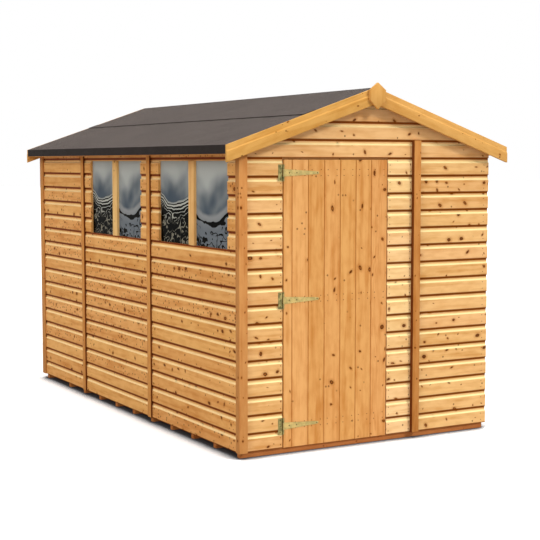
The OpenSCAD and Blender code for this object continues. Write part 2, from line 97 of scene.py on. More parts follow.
def pick(piece, kind, test):
    """In edit mode, selects the corners, edges or faces that pass a test of their middle
    and themselves."""
    bpy.ops.mesh.select_mode(type=kind)
    bpy.ops.mesh.select_all(action="DESELECT")
    mesh = bmesh.from_edit_mesh(piece.data)
    mesh.normal_update()
    for item in {"VERT": mesh.verts, "EDGE": mesh.edges, "FACE": mesh.faces}[kind]:
        corners = [item.co] if kind == "VERT" else [v.co for v in item.verts]
        item.select_set(bool(test(sum(corners, Vector()) / len(corners), item)))
    mesh.select_flush_mode()
    bmesh.update_edit_mesh(piece.data)


# %% Moving, pulling, bevelling and sawing
def slide(offset):
    bpy.ops.transform.translate(value=offset)


def pull(offset):
    bpy.ops.mesh.extrude_region_move(TRANSFORM_OT_translate={"value": offset})


def ease(offset, segments=2):
    """Planes the picked edges off, flat with one segment and rounded with more."""
    bpy.ops.mesh.bevel(offset=offset, segments=segments, affect="EDGES")


def saw(point, normal, keep_all=False):
    """Cuts the whole piece along a plane. The side that the normal points to goes."""
    bpy.ops.mesh.select_all(action="SELECT")
    bpy.ops.mesh.bisect(plane_co=point, plane_no=normal, use_fill=not keep_all,
                        clear_outer=not keep_all, threshold=1e-6)


def cut_out(piece, cutter):
    """Takes the cutter's shape out of a piece, with a Boolean."""
    open_piece(piece)
    cut = piece.modifiers.new("cut", "BOOLEAN")
    cut.object, cut.operation, cut.solver = cutter, "DIFFERENCE", "EXACT"
    bpy.ops.object.modifier_apply(modifier=cut.name)


# %% Making, copying, placing and joining
def block(name, low, high):
    """A squared block between two corners."""
    low, high = Vector(low), Vector(high)
    bpy.ops.object.select_all(action="DESELECT")
    bpy.ops.mesh.primitive_cube_add(size=1, location=(low + high) / 2)
    piece = bpy.context.object
    piece.name = piece.data.name = name
    piece.scale = high - low
    bpy.ops.object.transform_apply(location=True, rotation=True, scale=True)
    return piece


def copy_of(piece, name):
    twin = bpy.data.objects.new(name, piece.data.copy())
    twin.data.name = name
    bpy.context.scene.collection.objects.link(twin)
    return twin


def placed(piece, offset, turn=0.0, tilt=0.0):
    """Turns a piece about Z, tilts it about Y and moves it, all in its mesh."""
    open_piece(piece)
    piece.rotation_euler = (0.0, tilt, turn)
    piece.location = offset
    bpy.ops.object.transform_apply(location=True, rotation=True, scale=True)
    return piece


def joined(name, parts):
    open_piece(parts[0])
    for part in parts[1:]:
        part.select_set(True)
    if len(parts) > 1:
        bpy.ops.object.join()
    parts[0].name = parts[0].data.name = name
    return parts[0]


def repeated(piece, count, step):
    """Repeats a piece along a straight line, as a mesh of its own."""
    open_piece(piece)
    array = piece.modifiers.new("repeat", "ARRAY")
    array.count = count
    array.use_relative_offset = False
    array.use_constant_offset = True
    array.constant_offset_displace = step
    bpy.ops.object.modifier_apply(modifier=array.name)
    return piece


# %% [markdown]
# ## One number for each board
# No two boards in a wall are alike. Every separate board or timber gets a random number
# of its own, stored on its faces, and the wood material reads it to choose a tone and to
# shift the grain. The same search for loose parts gives the boxes of a CAD node's solids.

# %% Loose parts
def loose_parts(mesh):
    """The separate lumps of a bmesh, each as a list of its corners."""
    parts, seen = [], set()
    for start in mesh.verts:
        if start in seen:
            continue
        seen.add(start)
        part, waiting = [], [start]
        while waiting:
            corner = waiting.pop()
            part.append(corner)
            for edge in corner.link_edges:
                other = edge.other_vert(corner)
                if other not in seen:
                    seen.add(other)
                    waiting.append(other)
        parts.append(part)
    return parts


def extent(corners, axis):
    """The lowest and highest place of some corners along one axis."""
    places = [corner.co[axis] for corner in corners]
    return min(places), max(places)


def solid_boxes(node):
    """Lowest and highest corner of each solid in a CAD node, sorted by place."""
    mesh = bmesh.new()
    mesh.from_mesh(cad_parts[node].data)
    bmesh.ops.remove_doubles(mesh, verts=mesh.verts, dist=NEAR)
    boxes = [tuple(map(Vector, zip(*(extent(part, axis) for axis in range(3)))))
             for part in loose_parts(mesh)]
    mesh.free()
    return sorted(boxes, key=lambda b: tuple(round(v, 3) for v in b[0]))


# %% Numbering and finishing a piece
def number_boards(piece):
    """Gives each loose board of a piece its own random number, for its grain and tone."""
    mesh = bmesh.new()
    mesh.from_mesh(piece.data)
    layer = mesh.faces.layers.float.new("board")
    dice = random.Random(piece.name)
    parts = loose_parts(mesh)
    for part in parts:
        number = dice.random()
        for corner in part:
            for face in corner.link_faces:
                face[layer] = number
    mesh.to_mesh(piece.data)
    mesh.free()
    return len(parts)


SMOOTH_BELOW = math.radians(32)


def finish_piece(piece, body, slot, material, *nodes):
    """Numbers the boards, smooths shallow edges, and ties the piece to its CAD body."""
    count = number_boards(piece)
    open_piece(piece)
    bpy.ops.object.shade_smooth_by_angle(angle=SMOOTH_BELOW)
    piece.data.materials.clear()
    piece.data.materials.append(material)
    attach(piece, body)
    if nodes:
        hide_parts(*nodes)
    print(piece.name, count, "parts,", len(piece.data.polygons), "faces")


# %% [markdown]
# ## Small tools for nodes
# A material is a tree of nodes. These helpers add one node at a time and feed its inputs
# in order, either with a number or with another node's output. The sums have short names,
# because a wood pattern is mostly adding and multiplying.

# %% Node helpers
def feed(tree, socket, value):
    if isinstance(value, bpy.types.NodeSocket):
        tree.links.new(value, socket)
    else:
        socket.default_value = value


def put(tree, kind, *feeds, **settings):
    """Adds a node and feeds its inputs in order. None leaves an input as it is."""
    made = tree.nodes.new(kind)
    for name, value in settings.items():
        setattr(made, name, value)
    for socket, value in zip(made.inputs, feeds):
        if value is not None:
            feed(tree, socket, value)
    return made


def sums(tree, operation, total, *others):
    """Works along a row of values. SINE, SQRT and their like take one value alone."""
    for other in others or (None,):
        total = put(tree, "ShaderNodeMath", total, other, operation=operation).outputs[0]
    return total


def plus(tree, *values):
    return sums(tree, "ADD", *values)


def minus(tree, *values):
    return sums(tree, "SUBTRACT", *values)


def times(tree, *values):
    return sums(tree, "MULTIPLY", *values)


def highest(tree, *values):
    return sums(tree, "MAXIMUM", *values)


def ramp(tree, value, low, high, to_low=0.0, to_high=1.0):
    """Turns a value that goes from low to high into a soft change between two numbers."""
    return put(tree, "ShaderNodeMapRange", value, low, high, to_low, to_high,
               interpolation_type="SMOOTHSTEP").outputs[0]


def mixed(tree, share, a, b, way="MIX"):
    """Mixes two colours."""
    made = put(tree, "ShaderNodeMix", data_type="RGBA", blend_type=way)
    for index, value in ((0, share), (6, a), (7, b)):
        feed(tree, made.inputs[index], value)
    return made.outputs[2]


# %% Places, directions and patterns
def point(tree, x, y, z=0.0):
    return put(tree, "ShaderNodeCombineXYZ", x, y, z).outputs[0]


def xyz(tree, vector):
    return put(tree, "ShaderNodeSeparateXYZ", vector).outputs


def spot_on(tree):
    """Where a point of the piece is, in metres."""
    return put(tree, "ShaderNodeTexCoord").outputs["Object"]


def facing(tree):
    """Which way the surface faces, as x, y and z."""
    return xyz(tree, put(tree, "ShaderNodeNewGeometry").outputs["Normal"])


def noise(tree, place, scale, detail):
    return put(tree, "ShaderNodeTexNoise", place, None, scale, detail).outputs[0]


def swing(tree, value, middle, reach):
    """How far a value is from its middle, scaled."""
    return times(tree, minus(tree, value, middle), reach)


# %% New groups and materials
def new_group(name, inputs, outputs):
    """An empty shader group with named float and colour sockets."""
    group = bpy.data.node_groups.new(name, "ShaderNodeTree")
    for label, value in inputs.items():
        kind = "NodeSocketColor" if isinstance(value, tuple) else "NodeSocketFloat"
        socket = group.interface.new_socket(label, in_out="INPUT", socket_type=kind)
        socket.default_value = value
    for label, kind in outputs.items():
        group.interface.new_socket(label, in_out="OUTPUT", socket_type=kind)
    return group, group.nodes.new("NodeGroupInput").outputs, \
        group.nodes.new("NodeGroupOutput").inputs


def new_material(name):
    material = bpy.data.materials.new(name)
    material.use_nodes = True
    tree = material.node_tree
    return material, tree, tree.nodes["Principled BSDF"].inputs


def relief(tree, skin, strength, distance, height):
    """Feeds the surface's normal from a bump of this height."""
    bump = put(tree, "ShaderNodeBump", strength, distance)
    feed(tree, bump.inputs["Height"], height)
    feed(tree, skin["Normal"], bump.outputs[0])


# %% [markdown]
# ## Softwood
# Planed redwood shows pale early wood with darker late-wood lines, long streaks of
# colour, and knots with a dark heart and a brown halo, round which the lines bend. The
# group draws this on two lengths, along and across the grain, so that one group serves
# boards that run in any direction. A board's own number shifts the pattern and sets its
# tone. A picture of wood would be quicker, but it repeats, and it shows its edges.

# %% The softwood group
RUST, HEART = (0.42, 0.125, 0.018, 1.0), (0.075, 0.012, 0.0006, 1.0)
JUMP_ALONG, JUMP_ACROSS = 37.0, 3.7  # how far apart the wood of two boards may lie
wood_group, given, gives = new_group(
    "softwood",
    {"Along": 0.0, "Across": 0.0, "Board": 0.0, "Knots": 1.0, "Clear": 0.0, "Pins": 0.0,
     "Pale": (0.8, 0.5, 0.2, 1.0), "Deep": (0.6, 0.3, 0.1, 1.0),
     "Rust": RUST, "Heart": HEART},
    {"Color": "NodeSocketColor", "Roughness": "NodeSocketFloat",
     "Height": "NodeSocketFloat"})
t = wood_group
along = plus(t, given["Along"], times(t, given["Board"], JUMP_ALONG))
across = plus(t, given["Across"], times(t, given["Board"], JUMP_ACROSS))
dice = put(t, "ShaderNodeTexWhiteNoise", None, given["Board"], noise_dimensions="1D")
luck = put(t, "ShaderNodeSeparateColor", dice.outputs["Color"]).outputs
print("softwood takes", [socket.name for socket in given if socket.name])


def grain(long_scale, wide_scale, detail):
    """A soft pattern stretched along the board."""
    return noise(t, point(t, times(t, along, long_scale), times(t, across, wide_scale)),
                 1.0, detail)


def cell_pattern(place, scale):
    """A Voronoi pattern, and three random numbers for each of its cells."""
    cells = put(t, "ShaderNodeTexVoronoi", place, None, scale,
                voronoi_dimensions="2D").outputs
    return cells, put(t, "ShaderNodeSeparateColor", cells["Color"]).outputs


# %% [markdown]
# A knot lies in some of the cells of a Voronoi pattern. Each is turned and squeezed by
# chance about the middle of its cell. A few boards are full of them and a few are clear.

# %% Knots
KNOT_CELLS = 13.0  # cells to the metre
SMALLEST, SPREAD = 0.045, 0.130  # radius of the smallest knot, and what chance adds
squeezed = times(t, along, 0.8)
cells, lot = cell_pattern(point(t, squeezed, across), KNOT_CELLS)
middle = xyz(t, cells["Position"])
off_x, off_y = minus(t, squeezed, middle[0]), minus(t, across, middle[1])
turned = times(t, lot[2], math.pi)
sine, cosine = sums(t, "SINE", turned), sums(t, "COSINE", turned)
long_way = plus(t, times(t, off_x, cosine), times(t, off_y, sine))
short_way = minus(t, times(t, off_y, cosine), times(t, off_x, sine))
short_way = times(t, short_way, ramp(t, lot[1], 0.4, 1.0, 1.0, 2.0))
reach = sums(t, "SQRT", plus(t, times(t, long_way, long_way),
                             times(t, short_way, short_way)))
rough_edge = noise(t, point(t, along, times(t, across, 1.7)), 70.0, 2.0)
reach = plus(t, times(t, reach, KNOT_CELLS), swing(t, rough_edge, 0.5, 0.10))
size = times(t, sums(t, "POWER", lot[0], 1.8), SPREAD)
size = times(t, plus(t, size, SMALLEST), given["Knots"])
chance = plus(t, lot[1], ramp(t, luck[1], 0.1, 0.95, -0.28, 0.16))
chance = minus(t, chance, given["Clear"])
size = times(t, size, ramp(t, chance, 0.46, 0.50))
nearness = sums(t, "DIVIDE", reach, plus(t, size, 0.0001))
knot, eye = ramp(t, nearness, 1.15, 0.85), ramp(t, nearness, 0.62, 0.30)
halo = ramp(t, nearness, 2.6, 0.9)
print("knots:", len(t.nodes), "nodes so far")

# %% [markdown]
# Pin knots, about a pencil wide, come in crowds, and only on a share of the boards.

# %% Pin knots
PIN_CELLS = 31.0
cells, fleck = cell_pattern(point(t, along, across), PIN_CELLS)
peppered = ramp(t, minus(t, given["Pins"], luck[2]), -0.02, 0.02, 0.03, 0.42)
pins = ramp(t, minus(t, peppered, fleck[0]), 0.0, 0.02)
pin = times(t, pins, ramp(t, cells["Distance"], 0.23, 0.14))
print("pin knots:", len(t.nodes), "nodes so far")

# %% [markdown]
# Growth lines follow the distance from a pith that wanders slowly as the board goes on.
# The late wood of each year is a dark line with one soft edge and one sharp one.

# %% Growth lines
RINGS = 150.0  # growth lines to the metre
wander = noise(t, point(t, times(t, along, 1.1), 0.0, times(t, given["Board"], 9.0)),
               1.0, 1.0)
lean = minus(t, across, swing(t, wander, 0.5, 0.16))
depth = sums(t, "SQRT", plus(t, times(t, lean, lean), 0.0009))
rings = plus(t, times(t, depth, RINGS), times(t, grain(3.0, 14.0, 3.0), 3.2),
             times(t, halo, 1.6))
turn = sums(t, "FRACT", rings)
late = times(t, ramp(t, turn, 0.35, 0.9), ramp(t, turn, 1.0, 0.93))
print("growth lines:", len(t.nodes), "nodes so far")

# %% [markdown]
# The colour goes from pale to deep by the luck of the board, its late wood, long streaks,
# soft blotches and fine fibres. Halo, knot and pin knots are laid over that in turn.

# %% Colour, roughness and height
streak, blotch = grain(2.0, 30.0, 4.0), grain(9.0, 24.0, 3.0)
fibre = grain(18.0, 900.0, 2.0)
dark = plus(t, times(t, luck[0], 0.36), times(t, late, 0.24),
            ramp(t, streak, 0.44, 0.66, 0.0, 0.40),
            ramp(t, blotch, 0.35, 0.70, -0.12, 0.20), swing(t, fibre, 0.5, 0.16))
colour = mixed(t, dark, given["Pale"], given["Deep"])
ROSY, YELLOWED = (1.01, 0.965, 1.01, 1.0), (1.0, 0.995, 0.955, 1.0)
tint = mixed(t, luck[2], ROSY, YELLOWED)
colour = mixed(t, 1.0, colour, tint, "MULTIPLY")
colour = mixed(t, times(t, halo, 0.45), colour, given["Rust"])
live = times(t, eye, ramp(t, lot[2], 0.2, 0.9, 0.10, 0.75))
core = mixed(t, live, given["Heart"], given["Rust"])
colour = mixed(t, times(t, knot, 0.90), colour, core)
colour = mixed(t, times(t, pin, 0.68), colour, given["Heart"])
feed(t, gives["Color"], colour)
feed(t, gives["Roughness"], ramp(t, fibre, 0.2, 0.8, 0.50, 0.60))
feed(t, gives["Height"], plus(t, times(t, late, 0.5),
                              plus(t, times(t, fibre, 0.5), times(t, knot, -0.6))))
print("softwood group:", len(t.nodes), "nodes")

# %% [markdown]
# ## Timber materials
# The treatment is a golden dip stain. It gathers in the laps between boards and dries
# redder there, and the laps carry painted shade from each lip as well. The scooped ledges
# get a pale painted highlight. So the cladding's material follows each board's height, on
# the weather side only. The sides of trims that face one way get painted shade, and the
# door's V grooves are stained darker. The grain axis is set by which coordinate feeds
# Along, and for leaning timbers the coordinates are turned first.

# %% The grain of a timber
COVER = 0.108  # how much wall one course of boards covers
CLAD_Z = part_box("front_cladding_left")[0].z
ridge_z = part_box("front_gable_cladding")[1].z
slope = (ridge_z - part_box("right_cladding")[1].z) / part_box("back_cladding")[1].x
ledge_boxes = solid_boxes("door_ledges")
brace_rise = ledge_boxes[1][0].z - ledge_boxes[0][1].z
brace_run = ledge_boxes[0][1].x - ledge_boxes[0][0].x
AXES = {"x": (0, 1, 2), "y": (1, 0, 2), "z": (2, 0, 1)}
LEANS = {"brace": math.atan2(brace_rise, brace_run - 0.1), "rafter": -math.atan(slope)}
for name, lean in LEANS.items():
    print(name, "leans", round(math.degrees(lean), 1), "degrees")


def grain_lengths(tree, axis, place):
    """How far a point is along the grain, and how far across it."""
    if axis not in LEANS:
        run, wide, high = (place[i] for i in AXES[axis])
        return run, plus(tree, wide, high)
    cosine, sine = math.cos(LEANS[axis]), math.sin(LEANS[axis])
    side = sums(tree, "ABSOLUTE", place[0]) if axis == "rafter" else place[0]
    run = plus(tree, times(tree, side, cosine), times(tree, place[2], sine))
    wide = minus(tree, times(tree, place[2], cosine), times(tree, side, sine))
    return run, plus(tree, wide, place[1])


# %% Painted highlights, stain and painted shade on the cladding and on trim sides
# The first colour is painted shade for the sides of trims; the second is stain in the
# door's V grooves.
SIDE_SHADE = (0.085, 0.009, 0.0005, 1.0)
STAIN_GROOVE = (0.36, 0.115, 0.006, 1.0)
# Places on a course go from 0 at its foot to 1 at its top.
LEDGE_FROM, LEDGE_TO, LAP_FROM, FOOT_TO = 0.675, 0.87, 0.880, 0.065
# On the weather side: how strongly the ledges get a painted highlight, its colour, and the
# laps' stain, which is partly painted shade.
GABLE_LAPS = 0.82, (0.98, 0.81, 0.41, 1.0), (0.235, 0.052, 0.0015, 1.0)
SIDE_LAPS = 0.85, (0.99, 0.74, 0.37, 1.0), (0.165, 0.022, 0.0004, 1.0)


def highlighted_ledges_and_stained_laps(tree, colour, place, laps):
    """Paints ledge highlights, and lap stain with shade, on a wall's outside."""
    share, ledge_highlight, stain_and_shade = laps
    way = facing(tree)
    outward = plus(tree, times(tree, place[0], way[0]), times(tree, place[1], way[1]))
    outside = ramp(tree, outward, -0.2, 0.1)
    course = sums(tree, "FRACT",
                  sums(tree, "DIVIDE", minus(tree, place[2], CLAD_Z), COVER))
    # The pale colour on each ledge is a painted highlight.
    ledge = times(tree, ramp(tree, course, LEDGE_FROM, 0.715),
                  ramp(tree, course, LEDGE_TO, 0.77, 0.0, share), outside)
    colour = mixed(tree, ledge, colour, ledge_highlight)
    # The lap and foot of each course get a stain that is partly painted shade under the
    # lip.
    lap = ramp(tree, course, LAP_FROM, 0.92, 0.0, 0.95)
    foot = ramp(tree, course, FOOT_TO, 0.025, 0.0, 0.9)
    return mixed(tree, times(tree, highest(tree, lap, foot), outside), colour, stain_and_shade)


def stain_and_shade_on_sides(tree, colour, axis, share, stain_and_shade):
    """Darkens faces along an axis: painted shade on trims, stain in the door's grooves."""
    side = sums(tree, "ABSOLUTE", facing(tree)["xyz".index(axis)])
    return mixed(tree, ramp(tree, side, 0.4, 0.9, 0.0, share), colour, stain_and_shade)


print("stain from", round(LAP_FROM * COVER * 1000), "mm up each course")


# %% A timber material
WOOD_RELIEF = 0.0006  # metres from a growth line's foot to its top


def timber(name, axis, tones, knots=1.0, clear=0.0, pins=0.0, laps=None, stain_and_shade_axis=None,
           edge=(0.85, SIDE_SHADE)):
    material, tree, skin = new_material(f"{name}_{axis}")
    place = xyz(tree, spot_on(tree))
    run, wide = grain_lengths(tree, axis, place)
    board = put(tree, "ShaderNodeAttribute", attribute_name="board").outputs["Fac"]
    wood = put(tree, "ShaderNodeGroup", node_tree=wood_group)
    for label, value in {"Along": run, "Across": wide, "Board": board, "Knots": knots,
                         "Clear": clear, "Pins": pins,
                         "Pale": tones[0], "Deep": tones[1]}.items():
        feed(tree, wood.inputs[label], value)
    colour = wood.outputs["Color"]
    if laps:
        colour = highlighted_ledges_and_stained_laps(tree, colour, place, laps)
    # Faces along one axis are darkened: painted shade on trim sides, stain in the door's
    # grooves.
    if stain_and_shade_axis:
        colour = stain_and_shade_on_sides(tree, colour, stain_and_shade_axis, *edge)
    feed(tree, skin["Base Color"], colour)
    feed(tree, skin["Roughness"], wood.outputs["Roughness"])
    skin["Specular IOR Level"].default_value = 0.02
    relief(tree, skin, 0.35, WOOD_RELIEF, wood.outputs["Height"])
    return material



# %% Cladding and door boards
# Each timber has two tones: its palest board and its deepest.
GOLD = (0.85, 0.53, 0.228, 1.0), (0.62, 0.295, 0.084, 1.0)
SIDE = (0.84, 0.46, 0.155, 1.0), (0.60, 0.245, 0.058, 1.0)
PALE_GOLD = (0.93, 0.65, 0.315, 1.0), (0.72, 0.41, 0.148, 1.0)
GABLE = (0.90, 0.57, 0.265, 1.0), (0.68, 0.34, 0.110, 1.0)
DOOR = (0.79, 0.43, 0.150, 1.0), (0.57, 0.235, 0.056, 1.0)
shiplap = {"x": timber("shiplap", "x", GOLD, pins=0.08, laps=GABLE_LAPS),
           "y": timber("shiplap", "y", SIDE, pins=0.42, laps=SIDE_LAPS)}
pale_shiplap = timber("pale_shiplap", "x", PALE_GOLD, knots=0.8, laps=GABLE_LAPS)
gable_shiplap = timber("gable_shiplap", "x", GABLE, laps=GABLE_LAPS)
boarding = timber("boarding", "z", DOOR, knots=1.1, clear=0.17, stain_and_shade_axis="x",
                  edge=(0.65, STAIN_GROOVE))
print("board materials:", len(bpy.data.materials))

# %% Frame and trim timbers
FRAME = (0.78, 0.47, 0.19, 1.0), (0.58, 0.28, 0.085, 1.0)
MULLION = (0.90, 0.58, 0.24, 1.0), (0.72, 0.38, 0.12, 1.0)
TRIM = (0.70, 0.33, 0.095, 1.0), (0.50, 0.18, 0.038, 1.0)
CORNER = (0.67, 0.335, 0.105, 1.0), (0.49, 0.190, 0.046, 1.0)
GABLE_STRIP = (0.60, 0.275, 0.078, 1.0), (0.43, 0.15, 0.030, 1.0)
BARGE = (0.72, 0.405, 0.120, 1.0), (0.54, 0.25, 0.050, 1.0)
FINIAL = (0.74, 0.43, 0.130, 1.0), (0.58, 0.28, 0.060, 1.0)
JOIST = (0.55, 0.215, 0.065, 1.0), (0.38, 0.115, 0.026, 1.0)
framing = {axis: timber("framing", axis, FRAME)
           for axis in ("x", "y", "z", "brace", "rafter")}
mullion_wood = timber("mullion_wood", "z", MULLION, knots=0.5)
batten_wood = timber("trim_wood", "y", TRIM, knots=0.55)
# The trims' side faces along the given axis get painted shade.
corner_wood = timber("corner_wood", "z", CORNER, knots=0.55, stain_and_shade_axis="x",
                     edge=(0.12, SIDE_SHADE))
gable_trim_wood = timber("gable_trim_wood", "z", GABLE_STRIP, knots=0.55, stain_and_shade_axis="x")
side_trim_wood = timber("side_trim_wood", "z", TRIM, knots=0.55, stain_and_shade_axis="y")
barge_wood = timber("barge_wood", "rafter", BARGE, knots=0.5)
finial_wood = timber("finial_wood", "z", FINIAL, knots=0.0)
joist_wood = timber("joist_wood", "x", JOIST, knots=0.4)
print("timber materials:", len(bpy.data.materials))

# %% [markdown]
# ## Felt
# Shed felt is bitumen with crushed mineral pressed in: a fine speckle. Where it is turned
# down it is painted much darker, as shade. A line of squeezed-out glue runs along the lap
# of the ridge course, and the felt creases where it goes over the ridge.

# %% Felt
LAP_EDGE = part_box("felt_ridge_course")[1].x
BITUMEN, MINERAL = (0.039, 0.030, 0.026, 1.0), (0.128, 0.103, 0.091, 1.0)
WORN, BITUMEN_AND_SHADE = (0.062, 0.050, 0.045, 1.0), (0.012, 0.0085, 0.0075, 1.0)
CREASE, GLUE = 0.026, 0.042  # how far the crease and the glue reach, in metres
GRIT = 700.0  # grains to the metre


def felt_wear_and_shade(tree, spot, weave):
    """Darkness: painted shade where turned down, the ridge crease and the lap's glue."""
    squeeze = noise(tree, spot, 14.0, 3.0)
    # Turned-down faces are painted darker, as shade.
    upright_shade = ramp(tree, facing(tree)[2], 0.7, 0.3, 0.0, 0.85)
    away = sums(tree, "ABSOLUTE", xyz(tree, spot)[0])
    past_lap = minus(tree, away, LAP_EDGE)
    crease = ramp(tree, plus(tree, away, times(tree, weave, 0.016)),
                  CREASE, 0.010, 0.0, 0.6)
    glue = times(tree, ramp(tree, past_lap, -0.001, 0.001),
                 ramp(tree, plus(tree, past_lap, times(tree, squeeze, 0.05)),
                      GLUE, 0.034, 0.0, 0.9))
    return highest(tree, upright_shade, crease, glue)


def felt_material():
    material, tree, skin = new_material("mineral_felt")
    spot = spot_on(tree)
    grit = put(tree, "ShaderNodeTexVoronoi", spot, None, GRIT).outputs["Color"]
    light = put(tree, "ShaderNodeSeparateColor", grit).outputs[0]
    cloud, weave = noise(tree, spot, 2.2, 4.0), noise(tree, spot, 55.0, 3.0)
    colour = mixed(tree, light, BITUMEN, MINERAL)
    colour = mixed(tree, ramp(tree, cloud, 0.35, 0.7, 0.0, 0.35), colour, WORN)
    # Crease, glue and turned-down felt get this dark colour; on turned-down faces it is
    # painted shade.
    colour = mixed(tree, felt_wear_and_shade(tree, spot, weave), colour, BITUMEN_AND_SHADE)
    feed(tree, skin["Base Color"], colour)
    skin["Roughness"].default_value = 0.88
    skin["Specular IOR Level"].default_value = 0.1
    wrinkle = noise(tree, spot, 6.5, 2.0)
    waves = plus(tree, times(tree, weave, 1.6), times(tree, wrinkle, 25.0))
    relief(tree, skin, 0.5, 0.0012, plus(tree, light, waves))
    return material


felt = felt_material()
for name in ("felt_left_course", "felt_right_course", "felt_ridge_course"):
    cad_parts[name].data.materials[0] = felt
print("felt on three courses")

# %% [markdown]
# ## Zinc and steel
# The hinges are yellow-passivated zinc, blotched, with painted shade along their cut
# edges.
# The plates are a darker zinc, partly as painted shade from the knuckle. The nail heads
# are steel that the stain has browned, and the screw heads are darker.

# %% Zinc and steel
ZINC_SPECK, ZINC_EDGE_SHADE = (0.16, 0.11, 0.03, 1.0), (0.070, 0.060, 0.014, 1.0)


def zinc_material(name, bright, dull):
    material, tree, skin = new_material(name)
    spot = spot_on(tree)
    bloom, speck = noise(tree, spot, 38.0, 4.0), noise(tree, spot, 420.0, 2.0)
    colour = mixed(tree, ramp(tree, bloom, 0.35, 0.65), bright, dull)
    colour = mixed(tree, ramp(tree, speck, 0.55, 0.72, 0.0, 0.6), colour, ZINC_SPECK)
    # Faces across the strap, its cut edges, are painted darker as shade.
    edge = ramp(tree, sums(tree, "ABSOLUTE", facing(tree)[1]), 0.9, 0.5, 0.0, 0.85)
    colour = mixed(tree, edge, colour, ZINC_EDGE_SHADE)
    feed(tree, skin["Base Color"], colour)
    skin["Metallic"].default_value = 0.5
    feed(tree, skin["Roughness"], ramp(tree, speck, 0.3, 0.7, 0.36, 0.52))
    return material


def steel_material(name, dark, light, metal):
    material, tree, skin = new_material(name)
    feed(tree, skin["Base Color"],
         mixed(tree, noise(tree, spot_on(tree), 260.0, 2.0), dark, light))
    skin["Metallic"].default_value = metal
    skin["Roughness"].default_value = 0.5
    skin["Specular IOR Level"].default_value = 0.15
    return material


strap_zinc = zinc_material("strap_zinc", (0.57, 0.42, 0.145, 1.0),
                           (0.38, 0.30, 0.10, 1.0))
# The plates' zinc is darker, partly as painted shade from the hinge knuckle.
plate_zinc = zinc_material("plate_zinc", (0.40, 0.33, 0.115, 1.0),
                           (0.13, 0.12, 0.035, 1.0))
nail_steel = steel_material("nail_steel", (0.120, 0.022, 0.003, 1.0),
                            (0.23, 0.055, 0.008, 1.0), 0.1)
screw_steel = steel_material("screw_steel", (0.05, 0.038, 0.014, 1.0),
                             (0.13, 0.10, 0.04, 1.0), 0.7)
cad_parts["hinge_straps"].data.materials[0] = strap_zinc
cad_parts["hinge_plates"].data.materials[0] = plate_zinc
print("zinc and steel made")

# %% [markdown]
# ## Glass
# The panes are thin and bowed, as shed glazing is. A reflection of what lies before them,
# pale cloud above and dark ripples below, is painted into the glass's colour. Each pane
# has a flat map of its own, and the painted pattern reads that, so it stays where it is.
# Every
# second pane is marked odd: its ripples start lower and are thinner. On the room side the
# glass is plain and pale.

# %% What the panes show
# The sky and ripple colours are a painted reflection, not the glass's own colour.
REFLECTED_SKY_DEEP, REFLECTED_SKY_PALE = (0.092, 0.122, 0.158, 1.0), (0.575, 0.60, 0.575, 1.0)
REFLECTED_RIPPLE_BRIGHT = (0.58, 0.59, 0.53, 1.0), (0.40, 0.41, 0.41, 1.0)
REFLECTED_RIPPLE_DIM = (0.27, 0.25, 0.19, 1.0), (0.20, 0.225, 0.25, 1.0)
REFLECTED_RIPPLE_DARK, ROOM_SIDE = (0.001, 0.001, 0.0, 1.0), (0.86, 0.90, 0.89, 1.0)
EDGE_EVEN, EDGE_ODD = 0.53, 0.41  # height on the pane where the sky meets the garden
# Arcs to a pane's height, and how many more there are above a level on the even panes.
ARCS, CLOSER_ARCS, CLOSER_FROM = 6.25, 18.0, 0.39


def by_pane(tree, odd, even_value, odd_value):
    """One value for the even panes and another for the odd ones."""
    return ramp(tree, odd, 0.0, 1.0, even_value, odd_value)


def painted_garden_reflection(tree, flat, level, odd, seed):
    """Painted reflection: packed arcs breaking into swirls lower down, dark on bright."""
    # The swirls bend the arcs more and more on the way down.
    swirl = noise(tree, point(tree, times(tree, flat[0], 2.4), times(tree, flat[1], 3.4),
                              seed), 1.6, 2.0)
    wild = by_pane(tree, odd, ramp(tree, level, 0.50, 0.28, 0.5, 8.5),
                   ramp(tree, level, 0.33, 0.08, 0.5, 8.0))
    wild = times(tree, wild, minus(tree, swirl, 0.5))
    # A dark arc lies midway between two whole numbers of waves. Its share of the room
    # between them changes with height and from patch to patch.
    packed = times(tree, highest(tree, level, CLOSER_FROM),
                   by_pane(tree, odd, CLOSER_ARCS, 0.0))
    waves = plus(tree, times(tree, level, ARCS), packed,
                 plus(tree, wild, times(tree, odd, 0.56)))
    comb = sums(tree, "ABSOLUTE", minus(tree, sums(tree, "FRACT", waves), 0.5))
    share = by_pane(tree, odd, ramp(tree, level, 0.54, 0.38, 0.18, 0.42),
                    ramp(tree, level, 0.36, 0.02, 0.13, 0.17))
    patch = noise(tree, point(tree, flat[0], times(tree, flat[1], 2.2), seed), 3.5, 1.0)
    share = plus(tree, share, times(tree, ramp(tree, level, 0.44, 0.20),
                                    minus(tree, patch, 0.5)))
    line = ramp(tree, minus(tree, share, comb), -0.03, 0.03)
    ground = mixed(tree, ramp(tree, level, 0.20, 0.46), mixed(tree, odd, *REFLECTED_RIPPLE_DIM),
                   mixed(tree, odd, *REFLECTED_RIPPLE_BRIGHT))
    return mixed(tree, line, ground, REFLECTED_RIPPLE_DARK)


# %% Glass
PANE_BOW = 0.46  # how strongly the pattern sags towards a pane's middle


